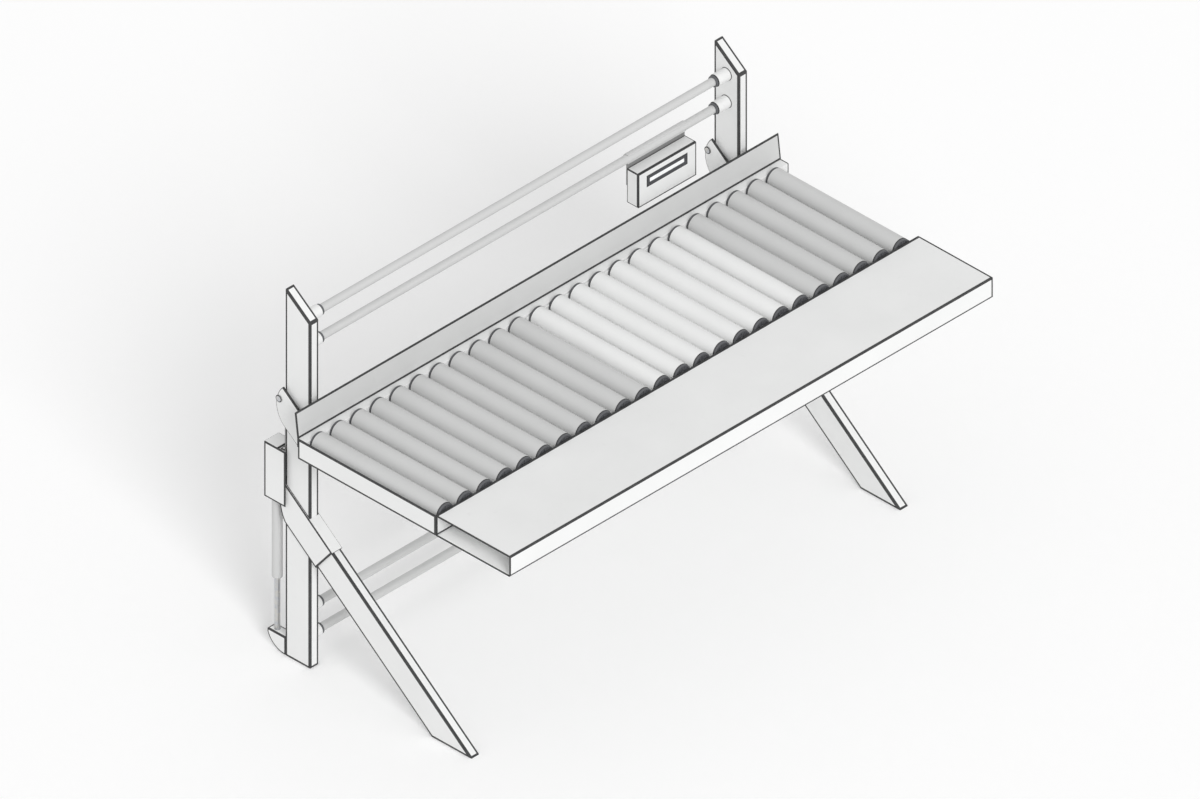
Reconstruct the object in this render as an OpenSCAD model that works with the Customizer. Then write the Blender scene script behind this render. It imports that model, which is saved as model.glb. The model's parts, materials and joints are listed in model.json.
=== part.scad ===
// Height-adjustable roller conveyor table with a packing shelf, a back fence, a weighing section
// and a display box, carried by two posts with slanting legs.
// Millimetres. X runs along the table, -Y is the operator's side, +Z is up.
// The origin is on the floor, below the middle of the table's length and of its whole depth.

/* [Roller bed] */
// How many rollers lie side by side along the table
roller_count = 24; // [22:1:24]
// Distance from one roller's centre to the next one's
roller_pitch = 82; // [74:0.5:92]
// Distance from the table's left end to the first roller's centre
start_margin = 48; // [42:0.5:60]
// Distance from the last roller's centre to the table's right end
end_margin = 66; // [50:0.5:80]
// Outer diameter of a roller's steel tube
roller_d = 65; // [54:1:70]
// Wall of a roller's steel tube
roller_wall = 2; // [1.5:0.25:4]
// How far the rollers stand proud of the frame's top edge
roller_rise = 16.5; // [8:0.5:20]
// Diameter of the fixed axle that a roller turns on
axle_d = 12; // [8:1:16]
// How far a roller's end cap stands out of its tube
cap_proud = 6; // [3:0.5:8]
// How deep a roller's end cap sits in its tube
cap_depth = 14; // [8:1:30]
// Number of the weighing section's first roller, counted from the left
weigh_first = 12; // [6:1:12]
// How many rollers the weighing section has
weigh_count = 8; // [5:1:8]

/* [Table frame] */
// Height of the frame's top edge above the floor, with the lift in its stored position
bed_h = 880; // [850:5:920]
// Free distance between the posts and the table frame
frame_gap = 44; // [42:1:60]
// Depth of the table frame, from the back beam to the front beam
frame_depth = 561; // [480:1:620]
// Height of the frame's sides
rail_h = 70; // [66:1:80]
// Depth of the box section at the back of the frame
rear_beam_d = 31; // [28:0.5:40]
// Wall of the frame's beams
beam_wall = 4; // [3:0.5:5]
// Thickness of the frame's end plates
end_plate_t = 4; // [3:0.5:6]
// Height of the right end plate between the two beams
low_end_h = 36; // [20:1:56]
// Depth of the front beam's bottom flange
front_flange_d = 45; // [40:1:60]

/* [Shelf] */
// Depth of the packing shelf in front of the rollers
shelf_depth = 300; // [200:5:360]
// Thickness of the shelf's folded sheet
shelf_sheet = 2; // [1.5:0.25:3]

/* [Fence] */
// Height of the back fence above the frame
fence_h = 86; // [60:1:110]
// How far the fence leans back, in degrees
fence_lean = 7; // [0:0.5:9]
// Thickness of the fence's sheet
fence_t = 3; // [2:0.5:4]
// Height of the fence's foot behind the back beam
fence_foot_h = 30; // [24:1:32]

/* [Posts] */
// Depth of a post
post_d = 100; // [90:1:120]
// Width of a post
post_w = 35; // [34:0.5:45]
// Wall of a post
post_wall = 3; // [2:0.5:4]
// Height of a post at its front face
post_front_h = 1216; // [1180:1:1260]
// Height of a post at its back face
post_rear_h = 1292; // [1262:1:1340]
// Distance from the table's end to the outer face of the post beside it
post_inset = 95.5; // [80:0.5:140]

/* [Cross tubes] */
// Outer diameter of the four tubes between the posts
tube_d = 26.9; // [20:0.1:30]
// Wall of these tubes
tube_wall = 2.6; // [1.5:0.1:4]
// Distance between the two tubes of a pair
tube_spacing = 97; // [90:1:110]
// Height of the uppermost tube
top_tube_z = 1199; // [1190:1:1210]
// Height of the lowest tube
foot_tube_z = 75.5; // [50:0.5:100]
// Diameter of the collars that hold the tubes
collar_d = 40; // [36:0.5:50]
// Length of these collars
collar_len = 50; // [30:1:60]
// Length of the dark ring at a collar's mouth
ring_len = 8; // [4:0.5:12]
// Diameter of this ring
ring_d = 36; // [34:0.5:36]

/* [Legs] */
// Depth of a leg, measured square to its length
leg_d = 100; // [80:1:110]
// Wall of a leg
leg_wall = 3; // [2:0.5:4]
// Angle of the legs and of the lift arms to the floor, in degrees
brace_angle = 38.66; // [36:0.02:41]
// Height of a leg's upper edge at the post's front face
leg_top_z = 524; // [480:1:530]
// Length of a leg's socket, from the post's back face along the leg
socket_len = 205; // [180:1:240]
// Thickness of a socket's two cheeks
cheek_t = 4; // [3:0.5:5]
// How far a socket's round end stands out behind the post
socket_bulge = 20; // [12:0.5:20]

/* [Lift arms] */
// Thickness of an arm's two side plates
arm_t = 8; // [6:0.5:10]
// Depth of an arm, measured square to its slope
arm_d = 100; // [80:1:110]
// How far an arm's upper edge lies below the frame's top edge, at the post's front face
arm_top_drop = 9; // [6:1:12]
// How far an arm's round end stands out behind the post
arm_bulge = 25; // [23:0.5:30]
// Free space between a post's side and an arm's plate
arm_gap = 5; // [3:0.5:6]
// Height of the box beams that carry the table on the arms
bearer_h = 80; // [70:1:84]
// Wall of these box beams
bearer_wall = 3; // [2:0.5:5]
// Diameter of the guide rollers behind the posts
rear_guide_d = 23.4; // [20:0.2:24]
// Diameter of the guide rollers in front of the posts
front_guide_d = 36; // [30:1:38]
// Width of all the guide rollers
guide_w = 30; // [20:1:32]
// Diameter of the pins that the guide rollers turn on
guide_pin_d = 10; // [8:0.5:12]
// Diameter of the flat head of such a pin
pin_head_d = 24; // [18:1:26]

/* [Lift actuators] */
// Distance from a post's back face to the actuator's axis
actuator_y = 50; // [47:0.5:52]
// Diameter of the outer tube
sleeve_d = 32; // [30:0.5:34]
// Wall of the outer tube
sleeve_wall = 2; // [1.5:0.25:3]
// Diameter of the rod that stands on the heel bracket
rod_d = 18; // [18:0.5:20]
// Diameter of the spindle inside the rod
spindle_d = 12; // [10:0.5:12]
// How far the outer tube hangs out below the drive housing
sleeve_reach = 286; // [260:1:290]
// Distance from the frame's top edge down to the drive housing's top
housing_drop = 153; // [151:1:165]
// Height of the drive housing
housing_h = 194; // [180:1:196]
// Depth of the drive housing
housing_d = 52.5; // [50:0.5:56]
// Wall of the drive housing
housing_wall = 2.5; // [2:0.25:3]
// How far the drive housing's side walls reach forward past the post's back face
wing_reach = 12; // [6:1:20]
// Depth of the heel bracket behind a post
heel_d = 74; // [72:1:80]
// Height of the heel bracket's flat top
heel_h = 62; // [58:1:70]
// Height at which the heel bracket's curved underside meets its back
heel_tip_z = 50; // [40:1:54]
// Radius of this curved underside
heel_r = 75; // [68:1:100]
// Wall of the heel bracket
heel_wall = 4; // [3:0.5:6]

/* [Weighing section] */
// Thickness of the weigh frame's side rails
weigh_rail_t = 3; // [2:0.5:4]
// Free space between the weighing section and the table frame
weigh_gap = 1.5; // [1:0.25:3]
// Width of a load cell, and of the bars above and below it
cell_w = 30; // [24:1:40]
// Height of a load cell
cell_h = 24; // [20:1:26]
// Length of a load cell
cell_len = 130; // [100:1:150]

/* [Display box] */
// Width of the display box
display_w = 240; // [200:1:280]
// Height of the display box
display_h = 118; // [90:1:120]
// Depth of the display box
display_d = 47; // [40:0.5:50]
// Distance from the right post's inner face to the display box
display_inset = 172.5; // [120:0.5:400]
// Free height between the tube and the display box
display_drop = 20.5; // [18:0.5:26]
// Width of the display window
window_w = 160; // [100:1:180]
// Height of the display window
window_h = 31; // [20:1:50]
// Distance from the box's left side to the window
window_side = 39; // [20:1:60]
// Distance from the box's top to the window
window_drop = 25; // [15:1:40]

/* [Hidden] */
$fn = 48;

// Play of pieces that turn or slide on each other, measured on the radius
run_fit = 0.05;
// Play of pieces that are pushed together, measured on the radius
slip_fit = 0.3;
// Gap between pieces of one group that lie against each other
seat_gap = 0.1;
// Play of a bolt in its hole, measured on the radius
hole_fit = 0.25;
// Overrun of every cut
over = 1;

// Screw sizes: shank diameter, width and height of the head, and the length above a nut's seat
bolt_d = 10;
bolt_head_d = 17;
bolt_head_h = 6;
bolt_tail = 10;
screw_d = 6;
screw_head_d = 11;
screw_flats = 10;
screw_head_h = 3.5;

// Places along the table
table_w = start_margin + (roller_count - 1) * roller_pitch + end_margin;
post_x = table_w / 2 - post_inset - post_w / 2;
bay_w = 2 * post_x - post_w;

// Places across the table: zero is the posts' front face and the operator's side is negative
frame_rear_y = -frame_gap;
rear_web_y = frame_rear_y - rear_beam_d;
frame_front_y = frame_rear_y - frame_depth;
front_web_y = frame_front_y + beam_wall;
shelf_front_y = frame_front_y - shelf_depth;
heel_rear_y = post_d + heel_d;
depth_mid = -(shelf_front_y + heel_rear_y) / 2;
tube_y = post_d / 2;
axis_y = post_d + actuator_y;

// Heights
frame_low_z = bed_h - rail_h;
axle_z = bed_h + roller_rise - roller_d / 2;
bearer_low_z = frame_low_z - bearer_h;
arm_top_z = bed_h - arm_top_drop;
housing_z = bed_h - housing_drop - housing_h;
sleeve_foot_z = housing_z - sleeve_reach;
brace_slope = tan(brace_angle);
low_top_tube_z = top_tube_z - tube_spacing;
tube_heights = [top_tube_z, low_top_tube_z, foot_tube_z + tube_spacing, foot_tube_z];

// Posts, legs and their sockets
cap_t = 6;
leg_drop = leg_d / cos(brace_angle);
leg_w = post_w - 2 * slip_fit;
socket_web = 3;
socket_step = (socket_web + slip_fit) / cos(brace_angle);
socket_high = leg_top_z + socket_step;
socket_low = leg_top_z - leg_drop - socket_step;
leg_screw_shares = [0.35, 0.75];

// Rollers
end_play = 1;
lip = 1;
function roller_x(i) = start_margin - table_w / 2 + (i - 1) * roller_pitch;
function weighs(i) = i >= weigh_first && i < weigh_first + weigh_count;
function inset(i) = end_play + (weighs(i) ? weigh_gap + weigh_rail_t : 0);
function roller_rear_y(i) = rear_web_y - inset(i);
function roller_front_y(i) = front_web_y + inset(i);

// Lift arms: the plates stand on both sides of a post
arm_inner_w = post_w + 2 * arm_gap;
arm_outer_w = arm_inner_w + 2 * arm_t;
arm_drop = arm_d / cos(brace_angle);
arm_front_y = -150;
glide_gap = 0.3;
rear_guide_rise = 20;
rear_guide_y = post_d + glide_gap + rear_guide_d / 2;
rear_guide_z = arm_top_z - arm_drop / 2 + brace_slope * post_d + rear_guide_rise;
front_guide_rise = 20;
front_guide_y = -glide_gap - front_guide_d / 2;
front_guide_z = bearer_low_z + front_guide_d / 2 + front_guide_rise;
pin_head_h = 4;
bearer_inset = 2;
bearer_rear_y = frame_rear_y - bearer_inset;
bearer_front_y = front_web_y;
beam_len = table_w - 2 * end_plate_t;

// Lift straps: flat bars behind the posts that hang the drive housings on the arms
strap_t = 6;
strap_w = 28;
strap_gap = 0.6;
strap_y = post_d + strap_gap;
strap_foot = 30;
yoke_h = 28;
yoke_inset = 2;
yoke_gap = 11;
yoke_z = rear_guide_z - rear_guide_d / 2 - yoke_gap - yoke_h;

// Drive housings: a block keeps them clear of the legs' sockets
socket_gap = 1.5;
housing_y = post_d + socket_bulge + socket_gap;
block_foot = 36;
block_inset = 8;
screw_tip_gap = 1;
screw_foot = 60;
screw_drop = 34;
housing_screws_z = [housing_z + screw_foot, housing_z + housing_h - screw_drop];

// Actuators
rod_drop = 109;
rod_stick = housing_z - rod_drop - heel_h;
rod_foot = 40;
rod_bolt_len = 34;
bore_play = 0.75;
rod_bore_d = spindle_d + 2 * bore_play;
nut_h = 30;
nut_play = 1;
sleeve_rise = 85;
sleeve_top_z = housing_z + sleeve_rise;
sleeve_bore_d = sleeve_d - 2 * sleeve_wall;
bush_h = 30;
spindle_reach = 253;
spindle_low_z = housing_z - spindle_reach;
thrust_d = 24;
thrust_h = 6;
thrust_gap = 4;
journal_d = 8;
journal_len = 15;
gearbox_d = 40;
gearbox_h = 31;
motor_d = 36;
motor_h = 63;

// Weighing section
weigh_bar_t = 10;
weigh_bar_gap = 3;
weigh_low_z = axle_z - roller_d / 2 - weigh_bar_gap - weigh_bar_t;
weigh_rail_rim = 4;
weigh_rail_top_z = axle_z + axle_d / 2 + weigh_rail_rim;
cell_bore_d = 17;
cell_bore_step = 8;
pad_h = 4;
pad_len = 32;
cell_z = weigh_low_z - pad_h - cell_h;
base_bar_h = 18;
base_side = 2;
base_bar_w = cell_w + 2 * base_side;
base_z = cell_z - pad_h - base_bar_h;
cell_shift = 18;
weigh_x = (roller_x(weigh_first) + roller_x(weigh_first + weigh_count - 1)) / 2;
weigh_len = weigh_count * roller_pitch - 2 * weigh_gap;
cell_x = weigh_len / 2 - roller_pitch;

// Display box
display_x = bay_w / 2 - display_inset - display_w / 2;
display_top_z = low_top_tube_z - tube_d / 2 - display_drop;
display_low_z = display_top_z - display_h;
display_rear_y = tube_y;
display_front_y = display_rear_y - display_d;
case_wall = 2.5;
panel_t = 3;
saddle_t = 3;
saddle_reach = 6.7;
window_recess = 1.2;
window_z = display_h - window_drop - window_h;
module_d = 6;
board_t = 1.6;
board_gap = 4;
gland_d = 16;
gland_bore_d = 8;
gland_len = 14;

light = [0.90, 0.91, 0.90];
dark = [0.77, 0.78, 0.79];
steel = [0.72, 0.73, 0.74];
black = [0.22, 0.23, 0.24];

function pad2(i) = str(i < 10 ? "0" : "", i);

// Puts a piece whose depth is measured from the posts' front face into the part's frame
module in_frame() {
    translate([0, depth_mid, 0]) children();
}

// Repeats a piece at both posts, whose middle planes are its own x = 0
module at_posts() {
    for (side = [-1, 1])
        translate([side * post_x, 0, 0]) children();
}

// Gives an outline that is drawn in Y and Z its width along X
module slab(w) {
    translate([-w / 2, 0, 0])
        rotate([90, 0, 90])
            linear_extrude(w) children();
}

// A round bar along X, with its middle at the place
module bar_x(d, w) {
    rotate([0, 90, 0]) cylinder(d = d, h = w, center = true);
}

// A round bar along Y, from the first depth to the second
module bar_y(d, y1, y2) {
    translate([0, y1, 0])
        rotate([-90, 0, 0])
            cylinder(d = d, h = y2 - y1);
}

// A six-sided prism along Z, measured across its flats
module hexagon(flats, h) {
    cylinder(d = flats / cos(30), h = h, $fn = 6);
}

// A strip that slopes down towards the operator, with a round end behind the posts.
// front holds the outline's points ahead of the posts, from the lower edge to the upper edge
module sloping_outline(low_z, high_z, bulge, front) {
    chord = high_z - low_z;
    r = (chord * chord / 4 + bulge * bulge) / (2 * bulge);
    intersection() {
        polygon(concat(front, [[post_d, high_z], [post_d + bulge, high_z],
                               [post_d + bulge, low_z], [post_d, low_z]]));
        union() {
            translate([post_d + bulge - r, (low_z + high_z) / 2]) circle(r = r);
            translate([shelf_front_y, 0]) square([post_d - shelf_front_y, post_rear_h]);
        }
    }
}

module posts() {
    cap_slope = (post_rear_h - post_front_h) / post_d;
    color(light) in_frame() at_posts() difference() {
        slab(post_w)
            polygon([[0, 0], [post_d, 0], [post_d, post_rear_h], [0, post_front_h]]);
        slab(post_w - 2 * post_wall)
            polygon([[post_wall, -over], [post_d - post_wall, -over],
                     [post_d - post_wall, post_rear_h - cap_slope * post_wall - cap_t],
                     [post_wall, post_front_h + cap_slope * post_wall - cap_t]]);
    }
}

module cross_tubes() {
    color(light) in_frame()
        for (z = tube_heights)
            translate([0, tube_y, z]) difference() {
                bar_x(tube_d, bay_w);
                bar_x(tube_d - 2 * tube_wall, bay_w + 2 * over);
            }
}

// Repeats a ring round all the tubes' ends, at a distance from the posts' inner faces
module tube_rings(d, len, away) {
    for (z = tube_heights)
        for (side = [-1, 1])
            translate([side * (bay_w / 2 - away - len / 2), tube_y, z]) difference() {
                bar_x(d, len);
                bar_x(tube_d + 2 * run_fit, len + 2 * over);
            }
}

module tube_collars() {
    color(light) in_frame() tube_rings(collar_d, collar_len, 0);
}

module collar_rings() {
    color(black) in_frame() tube_rings(ring_d, ring_len, collar_len);
}

// Outline of a leg or of its hollow, drawn in from the leg's edges by a wall
module leg_outline(wall, foot_z) {
    step = wall / cos(brace_angle);
    high = leg_top_z - step;
    low = leg_top_z - leg_drop + step;
    start_y = -slip_fit + (wall > 0 ? over : 0);
    polygon([[start_y, high + brace_slope * start_y], [(foot_z - high) / brace_slope, foot_z],
             [(foot_z - low) / brace_slope, foot_z], [start_y, low + brace_slope * start_y]]);
}

// Places a screw square to a leg's lower face, at a distance along the leg from the post
module at_leg_screws() {
    for (along = leg_screw_shares * (socket_len - post_d / cos(brace_angle)))
        translate([0, -along * cos(brace_angle),
                   leg_top_z - leg_drop - along * sin(brace_angle)])
            rotate([brace_angle, 0, 0])
                children();
}

module legs() {
    color(light) in_frame() at_posts() difference() {
        slab(leg_w) leg_outline(0, 0);
        slab(leg_w - 2 * leg_wall) leg_outline(leg_wall, leg_wall);
        at_leg_screws() translate([0, 0, -over])
            cylinder(d = screw_d + 2 * run_fit, h = leg_wall + 2 * over);
    }
}

module leg_sockets() {
    seam_y = post_d - socket_len * cos(brace_angle);
    seam_z = leg_top_z - leg_drop / 2 + brace_slope * seam_y;
    half = leg_d / 2 + slip_fit + socket_web;
    fit_step = slip_fit / cos(brace_angle);
    color(light) in_frame() at_posts() difference() {
        slab(post_w + 2 * cheek_t)
            sloping_outline(socket_low + brace_slope * post_d, socket_high + brace_slope * post_d,
                            socket_bulge,
                            [[seam_y + half * sin(brace_angle), seam_z - half * cos(brace_angle)],
                             [seam_y - half * sin(brace_angle), seam_z + half * cos(brace_angle)]]);
        slab(post_w)
            polygon([[0, 0], [post_d + socket_bulge + over, 0],
                     [post_d + socket_bulge + over, post_rear_h], [0, post_rear_h]]);
        slab(post_w)
            polygon([[0, leg_top_z + fit_step],
                     [-socket_len, leg_top_z + fit_step - brace_slope * socket_len],
                     [-socket_len, leg_top_z - leg_drop - fit_step - brace_slope * socket_len],
                     [0, leg_top_z - leg_drop - fit_step]]);
        at_leg_screws() translate([0, 0, -socket_web - slip_fit - over])
            cylinder(d = screw_d + 2 * hole_fit, h = socket_web + slip_fit + 2 * over);
    }
}

module stand_bolts() {
    color(steel) in_frame() at_posts() {
        at_leg_screws() {
            translate([0, 0, -socket_web - slip_fit])
                cylinder(d = screw_d, h = socket_web + slip_fit + 3 * leg_wall);
            translate([0, 0, -socket_web - slip_fit - screw_head_h])
                hexagon(screw_flats, screw_head_h);
        }
        translate([0, axis_y, heel_h - heel_wall]) {
            cylinder(d = journal_d, h = heel_wall + rod_bolt_len);
            translate([0, 0, -bolt_head_h]) hexagon(bolt_head_d, bolt_head_h);
        }
    }
}

// Outline of a heel bracket, drawn in by a wall: a square corner cut by one large circle.
// The circle runs from the floor at the post's back face to the bracket's tip
module heel_outline(wall) {
    chord = [heel_d, heel_tip_z];
    rise = sqrt(heel_r * heel_r - (heel_d * heel_d + heel_tip_z * heel_tip_z) / 4) / norm(chord);
    intersection() {
        translate([post_d - (wall > 0 ? over : 0), 0])
            square([heel_d - wall + (wall > 0 ? over : 0), heel_h - wall]);
        translate([post_d + heel_d / 2 - rise * heel_tip_z, heel_tip_z / 2 + rise * heel_d])
            circle(r = heel_r - wall, $fn = 4 * $fn);
    }
}

module heel_brackets() {
    color(light) in_frame() at_posts() difference() {
        slab(post_w) heel_outline(0);
        slab(post_w - 2 * heel_wall) heel_outline(heel_wall);
        translate([0, axis_y, heel_h - heel_wall - over])
            cylinder(d = journal_d + 2 * hole_fit, h = heel_wall + 2 * over);
    }
}

module actuator_rods() {
    color(steel) in_frame() at_posts() translate([0, axis_y, heel_h]) {
        difference() {
            cylinder(d = rod_d, h = rod_stick);
            translate([0, 0, rod_foot]) cylinder(d = rod_bore_d, h = rod_stick);
            translate([0, 0, -over])
                cylinder(d = journal_d + 2 * run_fit, h = rod_bolt_len + 2 * over);
        }
        translate([0, 0, rod_stick + seat_gap]) difference() {
            cylinder(d = sleeve_bore_d - 2 * nut_play, h = nut_h);
            translate([0, 0, -over]) cylinder(d = spindle_d + 2 * run_fit, h = nut_h + 2 * over);
        }
    }
}

// One side plate of a lift arm: its sloping ear holds the guide rollers' pins, and its level
// foot lies beside the box beam that carries the table
module arm_plate() {
    low = arm_top_z - arm_drop;
    difference() {
        slab(arm_t)
            sloping_outline(low + brace_slope * post_d, arm_top_z + brace_slope * post_d, arm_bulge,
                            [[(bearer_low_z - low) / brace_slope, bearer_low_z],
                             [arm_front_y, bearer_low_z], [arm_front_y, frame_low_z],
                             [frame_rear_y, frame_low_z],
                             [frame_rear_y, arm_top_z + brace_slope * frame_rear_y]]);
        translate([0, rear_guide_y, rear_guide_z]) bar_x(guide_pin_d + 2 * run_fit, arm_t + 2 * over);
        translate([0, front_guide_y, front_guide_z]) bar_x(guide_pin_d + 2 * run_fit, arm_t + 2 * over);
    }
}

module carriage_arms() {
    color(light) in_frame() at_posts() {
        for (side = [-1, 1])
            translate([side * (arm_inner_w + arm_t) / 2, 0, 0]) arm_plate();
        translate([-arm_inner_w / 2 + seat_gap, strap_y + strap_t, yoke_z])
            cube([arm_inner_w - 2 * seat_gap, arm_bulge - strap_gap - strap_t - yoke_inset, yoke_h]);
    }
}

// Places the bolts that hold the table frame's two beams on the box beams
module at_bearer_bolts(from_z) {
    for (y = [rear_web_y + rear_beam_d / 2, frame_front_y + front_flange_d / 2])
        for (side = [-1, 1])
            translate([side * arm_inner_w / 4, y, from_z]) children();
}

module arm_bearers() {
    color(light) in_frame() at_posts() difference() {
        translate([-arm_inner_w / 2, bearer_front_y, bearer_low_z])
            cube([arm_inner_w, bearer_rear_y - bearer_front_y, bearer_h]);
        translate([-arm_inner_w / 2 + bearer_wall, bearer_front_y - over, bearer_low_z + bearer_wall])
            cube([arm_inner_w - 2 * bearer_wall, bearer_rear_y - bearer_front_y + 2 * over,
                  bearer_h - 2 * bearer_wall]);
        at_bearer_bolts(bearer_low_z - over) cylinder(d = bolt_d + 2 * hole_fit, h = bearer_h + 2 * over);
    }
}

// Holes for the axles of the rollers that the table frame carries
module axle_holes(y1, y2) {
    for (i = [1:roller_count])
        if (!weighs(i))
            translate([roller_x(i), 0, axle_z]) bar_y(axle_d + 2 * run_fit, y1, y2);
}

module rear_beam() {
    color(light) in_frame() difference() {
        slab(beam_len)
            translate([rear_web_y, frame_low_z]) square([rear_beam_d, rail_h]);
        slab(beam_len + 2 * over)
            translate([rear_web_y + beam_wall, frame_low_z + beam_wall])
                square([rear_beam_d - 2 * beam_wall, rail_h - 2 * beam_wall]);
        axle_holes(rear_web_y - over, rear_web_y + beam_wall + over);
        at_posts() at_bearer_bolts(frame_low_z - over)
            cylinder(d = bolt_d + 2 * hole_fit, h = beam_wall + 2 * over);
    }
}

module front_beam() {
    color(light) in_frame() difference() {
        slab(beam_len)
            polygon([[frame_front_y, frame_low_z], [frame_front_y + front_flange_d, frame_low_z],
                     [frame_front_y + front_flange_d, frame_low_z + beam_wall],
                     [front_web_y, frame_low_z + beam_wall], [front_web_y, bed_h],
                     [frame_front_y, bed_h]]);
        axle_holes(frame_front_y - over, front_web_y + over);
        at_posts() at_bearer_bolts(frame_low_z - over)
            cylinder(d = bolt_d + 2 * hole_fit, h = beam_wall + 2 * over);
    }
}

// The right end plate is low between the beams, so that goods can roll off the table's end
module end_plates() {
    low_z = frame_low_z + low_end_h;
    color(light) in_frame() {
        translate([(end_plate_t - table_w) / 2, 0, 0]) slab(end_plate_t)
            translate([frame_front_y, frame_low_z]) square([frame_depth, rail_h]);
        translate([(table_w - end_plate_t) / 2, 0, 0]) slab(end_plate_t)
            polygon([[frame_front_y, frame_low_z], [frame_rear_y, frame_low_z], [frame_rear_y, bed_h],
                     [rear_web_y, bed_h], [rear_web_y, low_z], [front_web_y, low_z],
                     [front_web_y, bed_h], [frame_front_y, bed_h]]);
    }
}

module fence() {
    back = fence_h * tan(fence_lean);
    color(dark) in_frame() slab(table_w)
        polygon([[frame_rear_y, bed_h - fence_foot_h], [frame_rear_y + fence_t, bed_h - fence_foot_h],
                 [frame_rear_y + fence_t, bed_h], [frame_rear_y + fence_t + back, bed_h + fence_h],
                 [frame_rear_y + back, bed_h + fence_h], [frame_rear_y, bed_h]]);
}

// A folded sheet box with open ends
module shelf() {
    color(light) in_frame() slab(table_w) difference() {
        translate([shelf_front_y, frame_low_z]) square([shelf_depth, rail_h]);
        translate([shelf_front_y + shelf_sheet, frame_low_z + shelf_sheet])
            square([shelf_depth - 2 * shelf_sheet, rail_h - 2 * shelf_sheet]);
    }
}

module table_bolts() {
    color(steel) in_frame() at_posts() {
        at_bearer_bolts(bearer_low_z) {
            cylinder(d = bolt_d, h = bearer_h + beam_wall + bolt_tail);
            translate([0, 0, -bolt_head_h]) hexagon(bolt_head_d, bolt_head_h);
            translate([0, 0, bearer_h + beam_wall]) difference() {
                hexagon(bolt_head_d, bolt_head_h);
                translate([0, 0, -over]) cylinder(d = bolt_d + 2 * run_fit, h = bolt_head_h + 2 * over);
            }
        }
        for (place = [[rear_guide_y, rear_guide_z], [front_guide_y, front_guide_z]])
            translate([0, place[0], place[1]]) {
                bar_x(guide_pin_d, arm_outer_w + 2 * pin_head_h);
                for (side = [-1, 1])
                    translate([side * (arm_outer_w + pin_head_h) / 2, 0, 0]) bar_x(pin_head_d, pin_head_h);
            }
        for (z = housing_screws_z)
            translate([0, 0, z]) {
                bar_y(screw_d, strap_y + strap_t + screw_tip_gap, housing_y + housing_wall);
                bar_y(screw_head_d, housing_y + housing_wall, housing_y + housing_wall + screw_head_h);
            }
    }
}

module roller_axles() {
    color(steel) in_frame()
        for (i = [1:roller_count]) {
            reach = weighs(i) ? weigh_rail_t - seat_gap : beam_wall - seat_gap;
            translate([roller_x(i), 0, axle_z])
                bar_y(axle_d, roller_front_y(i) - end_play - reach, roller_rear_y(i) + end_play + reach);
        }
}

// One roller: a steel tube with a plastic bearing cap pressed into each end
module roller(i) {
    rear = roller_rear_y(i);
    front = roller_front_y(i);
    color(weighs(i) ? light : dark) in_frame() translate([roller_x(i), 0, axle_z]) {
        difference() {
            bar_y(roller_d, front + cap_proud, rear - cap_proud);
            bar_y(roller_d - 2 * roller_wall, front, rear);
        }
        for (end = [[front, 1], [rear, -1]])
            translate([0, end[0], 0]) mirror([0, (1 - end[1]) / 2, 0]) difference() {
                union() {
                    bar_y(roller_d - 2 * lip, 0, cap_proud - seat_gap);
                    bar_y(roller_d - 2 * roller_wall - 2 * seat_gap, 0, cap_proud + cap_depth);
                }
                bar_y(axle_d + 2 * run_fit, -over, cap_proud + cap_depth + over);
            }
    }
}

module weigh_frame() {
    rail_h_own = weigh_rail_top_z - weigh_low_z;
    rear = rear_web_y - weigh_gap;
    front = front_web_y + weigh_gap;
    color(light) in_frame() {
        difference() {
            for (y = [rear - weigh_rail_t, front])
                translate([weigh_x - weigh_len / 2, y, weigh_low_z])
                    cube([weigh_len, weigh_rail_t, rail_h_own]);
            for (i = [weigh_first:weigh_first + weigh_count - 1])
                translate([roller_x(i), 0, axle_z]) bar_y(axle_d + 2 * run_fit, front - over, rear + over);
        }
        for (side = [-1, 1])
            translate([weigh_x + side * cell_x - cell_w / 2, front + weigh_rail_t + seat_gap, weigh_low_z])
                cube([cell_w, rear - front - 2 * weigh_rail_t - 2 * seat_gap, weigh_bar_t]);
    }
}

cell_rear_y = rear_web_y - cell_shift;
cell_front_y = frame_front_y + front_flange_d + cell_shift / 2;

// One load cell, from its fixed end at zero to its loaded end: a block with a double bore, a pad
// below its fixed end and a pad on its loaded end
module load_cell() {
    difference() {
        translate([-cell_w / 2, 0, 0]) cube([cell_w, cell_len, cell_h]);
        for (step = [-1, 1])
            translate([0, cell_len / 2 + step * cell_bore_step, cell_h / 2])
                bar_x(cell_bore_d, cell_w + 2 * over);
    }
    translate([-cell_w / 2, 0, -pad_h]) cube([cell_w, pad_len, pad_h]);
    translate([-cell_w / 2, cell_len - pad_len, cell_h]) cube([cell_w, pad_len, pad_h]);
}

module load_cells() {
    color("silver") in_frame()
        for (side = [-1, 1]) {
            translate([weigh_x + side * cell_x, cell_rear_y, cell_z]) mirror([0, 1, 0]) load_cell();
            translate([weigh_x + side * cell_x, cell_front_y, cell_z]) load_cell();
        }
}

// Two bars below the frame, with raised ends that are fixed to its front and back beams
module scale_base() {
    rear_block = rear_beam_d - 2 * beam_wall;
    front_block = front_flange_d - beam_wall;
    rise = frame_low_z - base_z;
    color(light) in_frame()
        for (side = [-1, 1])
            translate([weigh_x + side * cell_x, 0, base_z])
                slab(base_bar_w)
                    polygon([[rear_web_y + rear_block, 0], [rear_web_y + rear_block, rise],
                             [rear_web_y, rise], [rear_web_y, base_bar_h],
                             [frame_front_y + front_block, base_bar_h],
                             [frame_front_y + front_block, rise], [frame_front_y, rise],
                             [frame_front_y, 0]]);
}

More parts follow.
